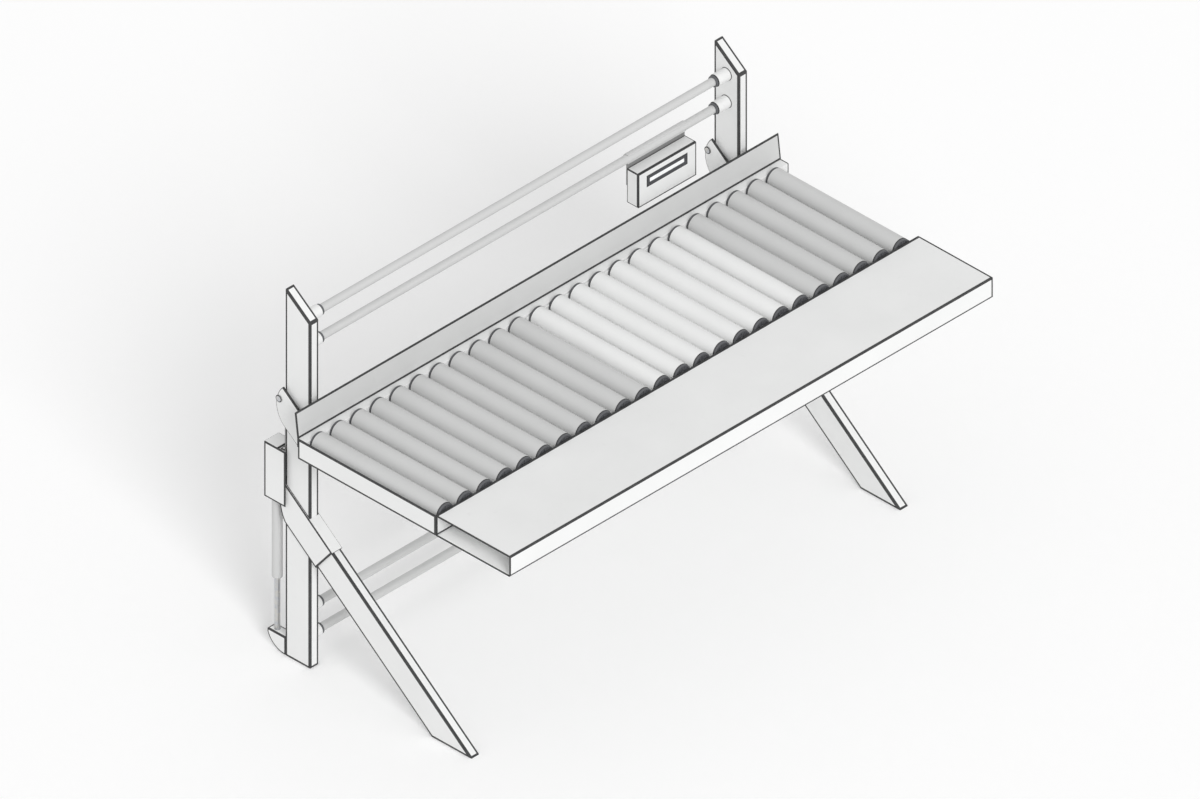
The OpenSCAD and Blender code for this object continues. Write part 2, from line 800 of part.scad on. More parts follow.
// A box round the drive, open at the back for its cover plate. Its side walls reach forward on
// both sides of the socket and the post
module actuator_housings() {
    inner_w = arm_outer_w - 2 * housing_wall;
    wing = housing_y - post_d + wing_reach;
    color(light) in_frame() at_posts() translate([0, housing_y, housing_z]) {
        difference() {
            translate([-arm_outer_w / 2, -wing, 0]) cube([arm_outer_w, wing + housing_d, housing_h]);
            translate([-inner_w / 2, -wing - over, -over])
                cube([inner_w, wing + over, housing_h + 2 * over]);
            translate([-inner_w / 2, housing_wall, housing_wall])
                cube([inner_w, housing_d, housing_h - 2 * housing_wall]);
            translate([0, axis_y - housing_y, -over])
                cylinder(d = sleeve_d + 2 * run_fit, h = housing_wall + 2 * over);
            for (z = housing_screws_z)
                translate([0, 0, z - housing_z]) bar_y(screw_d + 2 * hole_fit, -over, housing_wall + over);
        }
        translate([-inner_w / 2 + seat_gap, housing_d - housing_wall, housing_wall + seat_gap])
            cube([inner_w - 2 * seat_gap, housing_wall, housing_h - 2 * housing_wall - 2 * seat_gap]);
    }
}

module actuator_tubes() {
    color(light) in_frame() at_posts() translate([0, axis_y, sleeve_foot_z]) {
        difference() {
            cylinder(d = sleeve_d, h = sleeve_top_z - sleeve_foot_z);
            translate([0, 0, -over])
                cylinder(d = sleeve_bore_d, h = sleeve_top_z - sleeve_foot_z + 2 * over);
        }
        difference() {
            cylinder(d = sleeve_bore_d - 2 * seat_gap, h = bush_h);
            translate([0, 0, -over]) cylinder(d = rod_d + 2 * run_fit, h = bush_h + 2 * over);
        }
    }
}

// In-line gear motors that stand on the outer tubes' tops and hold the spindles' journals
module drive_motors() {
    color(black) in_frame() at_posts() translate([0, axis_y, sleeve_top_z]) difference() {
        union() {
            cylinder(d = gearbox_d, h = gearbox_h);
            translate([0, 0, gearbox_h]) cylinder(d = motor_d, h = motor_h);
        }
        translate([0, 0, -over]) cylinder(d = journal_d + 2 * run_fit, h = journal_len + 2 * over);
    }
}

module lift_straps() {
    color(light) in_frame() at_posts() difference() {
        union() {
            translate([-strap_w / 2, strap_y, housing_z + strap_foot])
                cube([strap_w, strap_t, yoke_z + yoke_h - housing_z - strap_foot]);
            translate([-strap_w / 2, strap_y, housing_z + block_foot])
                cube([strap_w, housing_y - strap_y, housing_h - block_foot - block_inset]);
        }
        for (z = housing_screws_z)
            translate([0, 0, z]) bar_y(screw_d + 2 * run_fit, strap_y + strap_t, housing_y + over);
    }
}

module rear_guide(side) {
    guide_roller(side, rear_guide_y, rear_guide_z, rear_guide_d);
}

module front_guide(side) {
    guide_roller(side, front_guide_y, front_guide_z, front_guide_d);
}

module guide_roller(side, y, z, d) {
    color(black) in_frame() translate([side * post_x, y, z]) difference() {
        bar_x(d, guide_w);
        bar_x(guide_pin_d + 2 * run_fit, guide_w + 2 * over);
    }
}

module lift_spindle(side) {
    collar_z = sleeve_top_z - thrust_h - thrust_gap;
    color(steel) in_frame() translate([side * post_x, axis_y, 0]) {
        translate([0, 0, spindle_low_z]) cylinder(d = spindle_d, h = collar_z - spindle_low_z);
        translate([0, 0, collar_z]) cylinder(d = thrust_d, h = thrust_h);
        translate([0, 0, collar_z]) cylinder(d = journal_d, h = sleeve_top_z + journal_len - collar_z);
    }
}

// The display box is drawn round its own left front lower corner
module at_display() {
    in_frame() translate([display_x - display_w / 2, display_front_y, display_low_z]) children();
}

module indicator_case() {
    color(light) at_display() {
        difference() {
            translate([0, panel_t, 0]) cube([display_w, display_d - panel_t, display_h]);
            translate([case_wall, panel_t - over, case_wall])
                cube([display_w - 2 * case_wall, display_d - panel_t - case_wall + over,
                      display_h - 2 * case_wall]);
            translate([display_w - 2 * gland_d, display_d / 2, -over])
                cylinder(d = gland_bore_d, h = case_wall + 2 * over);
        }
        translate([display_w - 2 * gland_d, display_d / 2, -gland_len]) difference() {
            cylinder(d = gland_d, h = gland_len);
            translate([0, 0, -over]) cylinder(d = gland_bore_d, h = gland_len + 2 * over);
        }
    }
}

// Front panel with the window's frame round its opening
module indicator_panel() {
    color(light) at_display() difference() {
        cube([display_w, panel_t, display_h]);
        translate([window_side, -over, window_z]) cube([window_w, panel_t + 2 * over, window_h]);
    }
}

module indicator_window() {
    color("white") at_display()
        translate([window_side + seat_gap, window_recess, window_z + seat_gap])
            cube([window_w - 2 * seat_gap, panel_t - window_recess, window_h - 2 * seat_gap]);
}

// Circuit board with the display module right behind the window
module indicator_board() {
    color("seagreen") at_display() {
        translate([window_side, panel_t + seat_gap, window_z])
            cube([window_w, module_d + board_t, window_h]);
        translate([case_wall + board_gap, panel_t + module_d + seat_gap, case_wall + board_gap])
            cube([display_w - 2 * case_wall - 2 * board_gap, board_t,
                  display_h - 2 * case_wall - 2 * board_gap]);
    }
}

// Hanger as long as the display box: a saddle grips the tube from behind, and its plate goes
// down behind the box
module indicator_bracket() {
    saddle_d = tube_d + 2 * run_fit + 2 * saddle_t;
    plate_low_z = display_low_z + display_h / 2;
    color(black) in_frame() translate([display_x, 0, 0]) difference() {
        union() {
            translate([0, tube_y, low_top_tube_z]) bar_x(saddle_d, display_w);
            translate([-display_w / 2, display_rear_y, plate_low_z])
                cube([display_w, saddle_t, low_top_tube_z - plate_low_z]);
        }
        translate([0, tube_y, low_top_tube_z]) bar_x(tube_d + 2 * run_fit, display_w + 2 * over);
        translate([-display_w / 2 - over, tube_y - saddle_d, low_top_tube_z - saddle_d / 2 - over])
            cube([display_w + 2 * over, saddle_d - saddle_reach, saddle_d + 2 * over]);
    }
}

posts();
cross_tubes();
tube_collars();
collar_rings();
legs();
leg_sockets();
stand_bolts();
heel_brackets();
actuator_rods();
carriage_arms();
arm_bearers();
rear_beam();
front_beam();
end_plates();
fence();
shelf();
table_bolts();
roller_axles();
weigh_frame();
load_cells();
scale_base();
actuator_housings();
actuator_tubes();
drive_motors();
lift_straps();
rear_guide(-1);  // guide_roller_rear_left
rear_guide(1);  // guide_roller_rear_right
front_guide(-1);  // guide_roller_front_left
front_guide(1);  // guide_roller_front_right
lift_spindle(-1);  // lift_spindle_left
lift_spindle(1);  // lift_spindle_right
indicator_case();
indicator_panel();
indicator_window();
indicator_board();
indicator_bracket();
for (i = [1:roller_count])
    roller(i);
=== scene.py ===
# %% [markdown]
# # A height-adjustable roller conveyor table
# The table is a packing bench for a conveyor line: a bed of rollers with a shelf in front and a
# fence behind, which two drives lift along a pair of posts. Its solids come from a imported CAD
# model. This lesson gives them soft edges, coatings, welds and bearings, and leaves every size
# as the CAD says. All lengths are in metres, in the CAD's own frame: X runs along the table,
# -Y is the operator's side and Z is up.

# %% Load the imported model
import json
import math

import bmesh
import bpy
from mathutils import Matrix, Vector
from mathutils.bvhtree import BVHTree


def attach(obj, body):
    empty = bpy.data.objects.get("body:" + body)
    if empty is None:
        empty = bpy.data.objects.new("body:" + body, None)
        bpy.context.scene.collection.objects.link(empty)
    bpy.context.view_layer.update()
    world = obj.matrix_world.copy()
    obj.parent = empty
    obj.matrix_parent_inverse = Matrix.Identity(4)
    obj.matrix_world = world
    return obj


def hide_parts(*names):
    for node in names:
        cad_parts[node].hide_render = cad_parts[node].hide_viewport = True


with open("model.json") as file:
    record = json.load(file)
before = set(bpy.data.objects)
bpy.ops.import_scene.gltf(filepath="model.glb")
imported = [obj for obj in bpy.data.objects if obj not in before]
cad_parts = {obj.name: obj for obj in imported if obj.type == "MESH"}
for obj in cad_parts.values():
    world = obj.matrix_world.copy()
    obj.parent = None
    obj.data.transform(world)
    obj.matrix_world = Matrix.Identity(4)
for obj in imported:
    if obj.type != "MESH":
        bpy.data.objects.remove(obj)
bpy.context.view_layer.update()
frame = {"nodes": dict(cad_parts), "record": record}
nodes = frame["nodes"]
record = frame["record"]
mm = 0.001
body_of = {n: b for b, members in record["behaviour"]["bodies"].items() for n in members}
slot_of = {entry["node"]: entry["material_slot"] for entry in record["subparts"]}

# %% [markdown]
# ## Camera
# The picture to match is a drawing in parallel projection: edges that are parallel on the table
# are parallel on the page. A perspective camera would bend that, so the camera is orthographic.
# The drawing's three axis directions give the angles from which it looks: 45.5 degrees to the
# left of the front and 34.7 degrees above. Its scale gives the width of the view.

# %% Camera
view_azimuth = math.radians(-45.5)
view_elevation = math.radians(34.7)
view_width = 3.48
view_distance = 6.0
aim = Vector((-0.038, 0.038, 0.6814))

towards_camera = Vector((math.sin(view_azimuth) * math.cos(view_elevation),
                         -math.cos(view_azimuth) * math.cos(view_elevation),
                         math.sin(view_elevation)))
camera_data = bpy.data.cameras.new("camera")
camera_data.type = "ORTHO"
camera_data.ortho_scale = view_width
camera = bpy.data.objects.new("camera", camera_data)
camera.location = aim + towards_camera * view_distance
camera.rotation_mode = "QUATERNION"
camera.rotation_quaternion = (-towards_camera).to_track_quat("-Z", "Y")
bpy.context.scene.collection.objects.link(camera)
bpy.context.scene.camera = camera
print("camera at", [round(v, 3) for v in camera.location])

# %% [markdown]
# ## Light and floor
# The drawing shades by direction only: faces that look at the operator are nearly white, while
# the tops and the faces on the left are light grey. One broad sun from the front gives that,
# and an even sky fills the rest. Together they light a level surface with 1, so a colour renders
# as it is written. The floor keeps the table's soft shadow. What the camera, gloss and glass see
# of the sky, and what the camera sees of the floor, is white paper.

# %% Light and floor
sky_level = 0.74
sun_strength = 1.55
sun_softness = math.radians(24)
sun_from = Vector((-0.40, -0.77, 0.50)).normalized()
floor_half = 14.0
floor_tone = 0.97

scene = bpy.context.scene
scene.view_settings.view_transform = "Standard"


def largest(tree, sockets):
    """Links sockets into a chain of nodes that passes on the largest of their values."""
    value = sockets[0]
    for socket in sockets[1:]:
        node = tree.nodes.new("ShaderNodeMath")
        node.operation = "MAXIMUM"
        tree.links.new(value, node.inputs[0])
        tree.links.new(socket, node.inputs[1])
        value = node.outputs[0]
    return value


world = bpy.data.worlds.new("studio")
scene.world = world
world.use_nodes = True
tree = world.node_tree
tree.nodes.clear()
out = tree.nodes.new("ShaderNodeOutputWorld")
rays = tree.nodes.new("ShaderNodeLightPath")
pick = tree.nodes.new("ShaderNodeMixShader")
for place, strength in ((1, sky_level), (2, 1.0)):
    background = tree.nodes.new("ShaderNodeBackground")
    background.inputs["Color"].default_value = (1, 1, 1, 1)
    background.inputs["Strength"].default_value = strength
    tree.links.new(background.outputs[0], pick.inputs[place])
tree.links.new(largest(tree, [rays.outputs[name] for name in ("Is Camera Ray", "Is Glossy Ray",
                                                               "Is Transmission Ray")]), pick.inputs[0])
tree.links.new(pick.outputs[0], out.inputs["Surface"])

sun_data = bpy.data.lights.new("sun", "SUN")
sun_data.energy = sun_strength
sun_data.angle = sun_softness
sun = bpy.data.objects.new("sun", sun_data)
sun.rotation_mode = "QUATERNION"
sun.rotation_quaternion = (-sun_from).to_track_quat("-Z", "Y")
scene.collection.objects.link(sun)

floor_mesh = bpy.data.meshes.new("floor")
floor_mesh.from_pydata([(-floor_half, -floor_half, 0), (floor_half, -floor_half, 0),
                        (floor_half, floor_half, 0), (-floor_half, floor_half, 0)], [], [(0, 1, 2, 3)])
floor = bpy.data.objects.new("floor", floor_mesh)
scene.collection.objects.link(floor)
floor_finish = bpy.data.materials.new("floor")
floor_finish.use_nodes = True
tree = floor_finish.node_tree
floor_shader = tree.nodes["Principled BSDF"]
floor_shader.inputs["Roughness"].default_value = 1.0
floor_shader.inputs["Specular IOR Level"].default_value = 0.0
paper = tree.nodes.new("ShaderNodeMix")
paper.data_type = "RGBA"
paper.inputs["A"].default_value = (floor_tone, floor_tone, floor_tone, 1)
paper.inputs["B"].default_value = (1, 1, 1, 1)
tree.links.new(tree.nodes.new("ShaderNodeLightPath").outputs["Is Camera Ray"], paper.inputs["Factor"])
tree.links.new(paper.outputs["Result"], floor_shader.inputs["Base Color"])
floor_mesh.materials.append(floor_finish)
print("light on a level surface:", round(sky_level + sun_strength / math.pi * sun_from.z, 3))

# %% [markdown]
# ## Finishes
# Every finish is a small network of nodes on the piece's own Object coordinates, so it stays put
# when the table moves. A powder coat is a plastic film that was melted on: it has one colour
# with a very slight drift, a fine orange peel and a soft sheen. Noise at three sizes gives the
# three effects. The same builder makes every coat, so they differ only by colour and grain.

# %% Helpers for materials
def linear(level):
    """Turns a tone from 0 to 255, as a picture stores it, into the linear value that light adds up in."""
    share = level / 255
    return share / 12.92 if share <= 0.04045 else ((share + 0.055) / 1.055) ** 2.4


def new_material(name):
    material = bpy.data.materials.new(name)
    material.use_nodes = True
    made = material.node_tree.nodes
    return material, made, material.node_tree.links, made.new("ShaderNodeTexCoord").outputs["Object"]


def noise(made, links, coordinates, scale, detail=2.0, stretch=(1, 1, 1)):
    """A noise texture on the given coordinates. stretch squeezes it along an axis."""
    mapping = made.new("ShaderNodeMapping")
    mapping.inputs["Scale"].default_value = stretch
    texture = made.new("ShaderNodeTexNoise")
    texture.inputs["Scale"].default_value = scale
    texture.inputs["Detail"].default_value = detail
    links.new(coordinates, mapping.inputs["Vector"])
    links.new(mapping.outputs["Vector"], texture.inputs["Vector"])
    return texture.outputs["Fac"]


def ranged(made, links, value, low, high, to_low, to_high):
    """Maps a value from one range to another, and stops at its ends."""
    node = made.new("ShaderNodeMapRange")
    for name, number in (("From Min", low), ("From Max", high), ("To Min", to_low), ("To Max", to_high)):
        node.inputs[name].default_value = number
    links.new(value, node.inputs["Value"])
    return node.outputs["Result"]


def blended(made, links, share, first, second):
    """Mixes two colours, each a tuple or a socket, by a share."""
    node = made.new("ShaderNodeMix")
    node.data_type = "RGBA"
    links.new(share, node.inputs["Factor"])
    for socket, colour in ((node.inputs["A"], first), (node.inputs["B"], second)):
        if isinstance(colour, tuple):
            socket.default_value = (*colour, 1)
        else:
            links.new(colour, socket)
    return node.outputs["Result"]


def bumped(made, links, height, strength, distance):
    node = made.new("ShaderNodeBump")
    node.inputs["Strength"].default_value = strength
    node.inputs["Distance"].default_value = distance
    links.new(height, node.inputs["Height"])
    return node.outputs["Normal"]


# %% [markdown]
# The coat and the edge line are the two finishes that nearly all metal pieces share. Where hands
# and boxes rub, the coat is a little darker. The line along an edge is painted shade: a dark band
# that stands in for the shade along the edge. It has its own soft clouds, because a single flat
# colour would look like ink.

# %% Coats and painted edge shade
drift_scale, scuff_scale, sheen_scale, peel_height = 5.0, 38.0, 24.0, 0.25 * mm
cloud_scale, edge_shade_grain, edge_shade_relief = 55.0, 900.0, 0.2 * mm


def powder_coat(name, level, grain=650.0, relief=0.25, roughness=0.48, rings=(1, 1, 1)):
    """A melted-on plastic coat of one tone, with orange peel, a drift of tone and faint scuffs."""
    material, made, links, place = new_material(name)
    shader = made["Principled BSDF"]
    tone = linear(level)
    drift = ranged(made, links, noise(made, links, place, drift_scale, 4.0), 0.3, 0.7, 0.0, 1.0)
    base = blended(made, links, drift, (tone * 0.975, tone * 0.98, tone * 0.975),
                   (tone * 1.015, tone * 1.02, tone * 1.015))
    rubbed = ranged(made, links, noise(made, links, place, scuff_scale, 6.0, rings), 0.66, 0.78, 0.0, 0.3)
    base = blended(made, links, rubbed, base, (tone * 0.88, tone * 0.88, tone * 0.875))
    links.new(base, shader.inputs["Base Color"])
    links.new(ranged(made, links, noise(made, links, place, sheen_scale, 3.0), 0.3, 0.7,
                     roughness - 0.07, roughness + 0.09), shader.inputs["Roughness"])
    links.new(bumped(made, links, noise(made, links, place, grain, 2.0), relief, peel_height),
              shader.inputs["Normal"])
    shader.inputs["Specular IOR Level"].default_value = 0.35
    return material


def painted_edge_shade(name, level):
    """Painted edge shade: a dark, slightly cloudy band along an edge that stands in for its shade."""
    material, made, links, place = new_material(name)
    shader = made["Principled BSDF"]
    tone = linear(level)
    cloud = ranged(made, links, noise(made, links, place, cloud_scale, 5.0), 0.35, 0.65, 0.0, 1.0)
    links.new(blended(made, links, cloud, (tone * 0.85, tone * 0.87, tone * 0.9),
                      (tone * 1.2, tone * 1.2, tone * 1.2)), shader.inputs["Base Color"])
    links.new(bumped(made, links, noise(made, links, place, edge_shade_grain, 3.0), 0.3, edge_shade_relief),
              shader.inputs["Normal"])
    shader.inputs["Roughness"].default_value = 0.55
    shader.inputs["Specular IOR Level"].default_value = 0.25
    return material


light_level, lightened_hollow_level, shaded_tube_level, fence_level = 229, 250, 198, 200
roller_level, bracket_level, edge_shade_level = 200, 128, 60
light_coat = powder_coat("light_coat", light_level)
# The hollow coat is lighter than the light coat: it paints light into the shelf's hollow, where shade falls.
lightened_hollow_coat = powder_coat("lightened_hollow_coat", lightened_hollow_level)
# The tube coat is darker than the tubes' own tone: painted shade that stands in for their dark outlines.
shaded_tube_coat = powder_coat("shaded_tube_coat", shaded_tube_level)
fence_coat = powder_coat("fence_coat", fence_level)
bracket_coat = powder_coat("bracket_coat", bracket_level)
# The edge finish is painted shade: a dark line along the edges of the pieces.
edge_shade_finish = painted_edge_shade("edge_shade_finish", edge_shade_level)
print("coats made:", light_coat.name, fence_coat.name, bracket_coat.name, edge_shade_finish.name)

# %% [markdown]
# ## Metals and plastics
# The bolts, pins, rods and axles are zinc plated: a bright metal with a cloudy, slightly bluish
# skin. The weighing cells are milled aluminium, with fine parallel cutter marks. The roller
# caps, the guide rollers and the tube rings are moulded black plastic with a dull grain.

# %% Metals and plastics
def plated_steel(name, level=205, roughness=0.34):
    material, made, links, place = new_material(name)
    shader = made["Principled BSDF"]
    tone = linear(level)
    clouds = ranged(made, links, noise(made, links, place, 70.0, 5.0), 0.35, 0.65, 0.0, 1.0)
    links.new(blended(made, links, clouds, (tone * 0.84, tone * 0.87, tone * 0.93),
                      (tone * 1.02, tone * 1.0, tone * 0.95)), shader.inputs["Base Color"])
    links.new(ranged(made, links, noise(made, links, place, 240.0, 2.0), 0.3, 0.7, roughness - 0.08,
                     roughness + 0.12), shader.inputs["Roughness"])
    shader.inputs["Metallic"].default_value = 1.0
    return material


def milled_aluminium(name):
    material, made, links, place = new_material(name)
    shader = made["Principled BSDF"]
    tone = linear(214)
    marks = noise(made, links, place, 1.0, 2.0, (900.0, 40.0, 900.0))
    links.new(blended(made, links, marks, (tone * 0.9, tone * 0.9, tone * 0.91), (tone, tone, tone)),
              shader.inputs["Base Color"])
    links.new(bumped(made, links, marks, 0.2, 0.1 * mm), shader.inputs["Normal"])
    shader.inputs["Metallic"].default_value = 1.0
    shader.inputs["Roughness"].default_value = 0.38
    return material


def moulded_plastic(name, colour, roughness=0.5, grain=1400.0):
    """A dull moulded plastic of a colour, given as three tones, with a little dust on it."""
    material, made, links, place = new_material(name)
    shader = made["Principled BSDF"]
    clean = tuple(linear(level) for level in colour)
    dusty = tuple(linear(level) * 1.2 for level in colour)
    dust = ranged(made, links, noise(made, links, place, 30.0, 4.0), 0.42, 0.7, 0.0, 0.5)
    links.new(blended(made, links, dust, clean, dusty), shader.inputs["Base Color"])
    links.new(bumped(made, links, noise(made, links, place, grain, 2.0), 0.25, 0.12 * mm),
              shader.inputs["Normal"])
    shader.inputs["Roughness"].default_value = roughness
    return material


zinc = plated_steel("zinc")
cell_metal = milled_aluminium("cell_metal")
black_plastic = moulded_plastic("black_plastic", (84, 85, 88))
motor_lacquer = moulded_plastic("motor_lacquer", (60, 60, 63), 0.35, 700.0)
board_green = moulded_plastic("board_green", (44, 98, 66), 0.4)
pane_clear = moulded_plastic("pane_clear", (247, 248, 248), 0.12, 200.0)
case_plastic = powder_coat("case_plastic", light_level, 1500.0, 0.2, 0.42)
print("metals and plastics made")

# %% [markdown]
# ## Soft edges and their painted shade lines
# A CAD solid has perfectly sharp edges, and no real sheet or casting has. On a copy of each
# solid the loose triangles are merged, and each flat side is found as a group of faces that lie
# in one plane. Every edge gets a dark line of painted shade. So each wide side that looks
# outwards gets a narrow border of painted edge shade, and a side that is only as wide as a sheet's
# thickness becomes a painted shade line itself. The borders lie on the piece, so they are there
# from every direction. They stay under half of the side's narrowest part, so two of them never
# meet. Rays that are cast through the solid, just below the side, measure that part. Then every
# sharp edge is rounded by a bevel, whose faces take the painted edge shade on pieces that have
# lines. It is never wider than two fifths of the wall behind it, which another ray measures.

# %% Find the flat sides and walls of a solid
wall_share = 0.4
ray_inset = 0.35 * mm
ray_depth = 0.02 * mm
flat_angle = math.radians(0.6)
sharp_angle = math.radians(32)
sharp_share = 0.8
least_border = 0.5 * mm
border_share = 0.48
bevel_steps = 2
hollow_reach = 0.12


def beside(edge, face):
    """A point in the solid just below a face and right beside an edge, and the way across the face."""
    middle = (edge.verts[0].co + edge.verts[1].co) / 2
    across = face.normal.cross((edge.verts[1].co - edge.verts[0].co).normalized())
    if across.dot(face.calc_center_median() - middle) < 0:
        across.negate()
    return middle + across * ray_inset - face.normal * ray_depth, across


def wall_behind(tree, edge, face):
    """Measures the solid's thickness behind a face, right beside an edge."""
    return tree.ray_cast(beside(edge, face)[0], -face.normal)[3] or 0.0


def span_across(tree, edge, face):
    """Measures how far a face goes on from an edge, to the next edge or hole in its plane."""
    return tree.ray_cast(*beside(edge, face))[3] or 0.0


def welded_copy(node):
    """A bmesh of a CAD solid with its triangles merged and its flat faces joined. Faces that run
    round a hole are split again, so that every face is convex."""
    solid = bmesh.new()
    solid.from_mesh(nodes[node].data)
    bmesh.ops.remove_doubles(solid, verts=solid.verts, dist=2e-6)
    bmesh.ops.dissolve_limit(solid, angle_limit=flat_angle, verts=solid.verts, edges=solid.edges,
                             delimit={"NORMAL"})
    bmesh.ops.connect_verts_concave(solid, faces=[face for face in solid.faces if len(face.verts) > 4])
    solid.normal_update()
    return solid


def flat_sides(solid):
    """Groups a solid's faces into its flat sides: neighbours that lie in one plane."""
    unseen = set(solid.faces)
    sides = []
    for first in solid.faces:
        if first not in unseen:
            continue
        unseen.remove(first)
        side, front = [first], [first]
        while front:
            face = front.pop()
            for edge in face.edges:
                for other in edge.link_faces:
                    if other in unseen and other.normal.angle(face.normal, math.pi) < flat_angle:
                        unseen.remove(other)
                        side.append(other)
                        front.append(other)
        sides.append(side)
    return sides


def side_shape(tree, side):
    """A side's mean width, the share of its border that is a sharp edge, and its narrowest part,
    which is measured across it from every outer edge, just below its surface."""
    inside = set(side)
    border = [e for face in side for e in face.edges if sum(f in inside for f in e.link_faces) == 1]
    around = sum(e.calc_length() for e in border) or 1.0
    sharp = [e for e in border if e.calc_face_angle(0.0) > sharp_angle]
    parts = [span_across(tree, e, f) for e in sharp if e.is_convex for f in e.link_faces if f in inside]
    return (2 * sum(face.calc_area() for face in side) / around, sum(e.calc_length() for e in sharp) / around,
            min((part for part in parts if part > 0), default=0.0))


def faces_a_wall(tree, side):
    """Tells whether a side looks at another wall of its own solid nearby, as a hollow's sides do."""
    face = max(side, key=lambda f: f.calc_area())
    start = face.calc_center_median() + face.normal * 0.05 * mm
    return tree.ray_cast(start, face.normal, hollow_reach)[0] is not None


# %% [markdown]
# One function dresses every solid: it merges a copy, gives the borders and the hollows their own
# material numbers, sets how round each edge may be, and bakes the bevel into a plain mesh. The
# new piece rides on the body of the solid that it stands for.

# %% Dress a CAD solid
def finished(name, mesh_object, body, stands_for=()):
    """Bakes an object's modifiers into a plain mesh, and hands the piece over to its CAD body."""
    view = bpy.context.evaluated_depsgraph_get()
    baked = bpy.data.meshes.new_from_object(mesh_object.evaluated_get(view), depsgraph=view)
    bpy.data.objects.remove(mesh_object)
    baked.name = name
    piece = bpy.data.objects.new(name, baked)
    scene.collection.objects.link(piece)
    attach(piece, body)
    if stands_for:
        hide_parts(*stands_for)
    return piece


def dressed(node, coat, round_width, line=0.0, narrow=None, inner=None, rim=0.0):
    """Stands for a CAD node with the same solid, its edges rounded and lined with painted edge shade.
    line is the width of a border of painted shade, and sides up to narrow wide become painted shade
    lines. inner is the hollows' coat, lighter than the outside to paint light into them, and rim the
    width of the painted shade line inside a hollow's open ends."""
    solid = welded_copy(node)
    tree = BVHTree.FromBMesh(solid)
    rim_x = max(vert.co.x for vert in solid.verts) - rim
    if rim:
        for x in (-rim_x, rim_x):
            everything = solid.verts[:] + solid.edges[:] + solid.faces[:]
            bmesh.ops.bisect_plane(solid, geom=everything,
                                   plane_co=(x, 0, 0), plane_no=(1, 0, 0))
    for face in solid.faces:
        face.material_index = 0
        face.smooth = True
    limit = line if narrow is None else narrow
    borders = 0
    for side in flat_sides(solid):
        width, sharp, narrowest = side_shape(tree, side)
        border = min(line, border_share * narrowest)
        hollow = faces_a_wall(tree, side)
        # A hollow takes the lighter inner coat, which is painted light, and its open ends a painted shade
        # line.
        if inner and hollow:
            for face in side:
                face.material_index = 1 if rim and abs(face.calc_center_median().x) > rim_x else 2
        # Narrow sides become painted shade lines, and wide outward sides get a border of painted shade.
        elif limit and width < limit and sharp > sharp_share:
            for face in side:
                face.material_index = 1
        elif border > least_border and width > 2.5 * line and not hollow:
            made = bmesh.ops.inset_region(solid, faces=side, thickness=border, depth=0.0,
                                          use_boundary=True, use_even_offset=True)
            for face in made["faces"]:
                face.material_index = 1
            borders += 1
    solid.normal_update()
    weights = solid.edges.layers.float.new("bevel_weight_edge")
    count = 0
    for edge in solid.edges:
        if len(edge.link_faces) != 2 or edge.calc_face_angle(0.0) < sharp_angle:
            continue
        if edge.is_convex:
            wall = min(wall_behind(tree, edge, face) for face in edge.link_faces)
            edge[weights] = min(1.0, wall_share * wall / round_width)
            count += 1
        if edge[weights] == 0:
            edge.smooth = False
    mesh = bpy.data.meshes.new(node + "_solid")
    solid.to_mesh(mesh)
    solid.free()
    for finish in (coat, edge_shade_finish if limit else coat, inner or coat):
        mesh.materials.append(finish)
    holder = bpy.data.objects.new(node + "_solid", mesh)
    scene.collection.objects.link(holder)
    bevel = holder.modifiers.new("bevel", "BEVEL")
    bevel.limit_method = "WEIGHT"
    bevel.width = round_width
    bevel.segments = bevel_steps
    bevel.use_clamp_overlap = False
    bevel.loop_slide = False
    # The rounded edges take slot 1: the painted edge shade where the piece has lines.
    bevel.material = 1
    bevel.miter_outer = "MITER_SHARP"
    normals = holder.modifiers.new("normals", "WEIGHTED_NORMAL")
    normals.keep_sharp = True
    piece = finished(node + "_piece", holder, body_of[node], [node])
    print(f"{node}: {count} edges, {borders} borders, {len(piece.data.polygons)} faces")
    return piece


# %% [markdown]
# ## The stand, the frame and the sheets
# Cold-formed box section has generous outer corners, while laser-cut plate is only broken along
# its edges. So the posts, legs and the shelf are rounded most. The back beam has no border,
# because the drawing leaves its top edge open between the rollers' ends. On the display's
# bracket only the plate is dark, and the saddle that grips the tube has the tube's own coat.

# %% Dress the pieces
saddle_height = 32.0 * mm
for node, width in (("posts", 7.0), ("legs", 7.0), ("end_plates", 7.0), ("leg_sockets", 6.0),
                    ("heel_brackets", 5.0), ("actuator_housings", 6.0)):
    dressed(node, light_coat, 2.0 * mm, width * mm, 4.5 * mm)
dressed("carriage_arms", light_coat, 1.6 * mm, 5.0 * mm, 9.0 * mm)
for node in ("arm_bearers", "front_beam", "scale_base", "lift_straps"):
    dressed(node, light_coat, 1.6 * mm, 2.5 * mm, 4.5 * mm)
for node in ("rear_beam", "weigh_frame"):
    dressed(node, light_coat, 1.2 * mm)
# The shelf's hollow takes the lightened coat, painted light.
dressed("shelf", light_coat, 2.5 * mm, 6.0 * mm, 4.5 * mm, inner=lightened_hollow_coat, rim=5.0 * mm)
dressed("fence", fence_coat, 1.2 * mm, 6.0 * mm, 4.5 * mm)
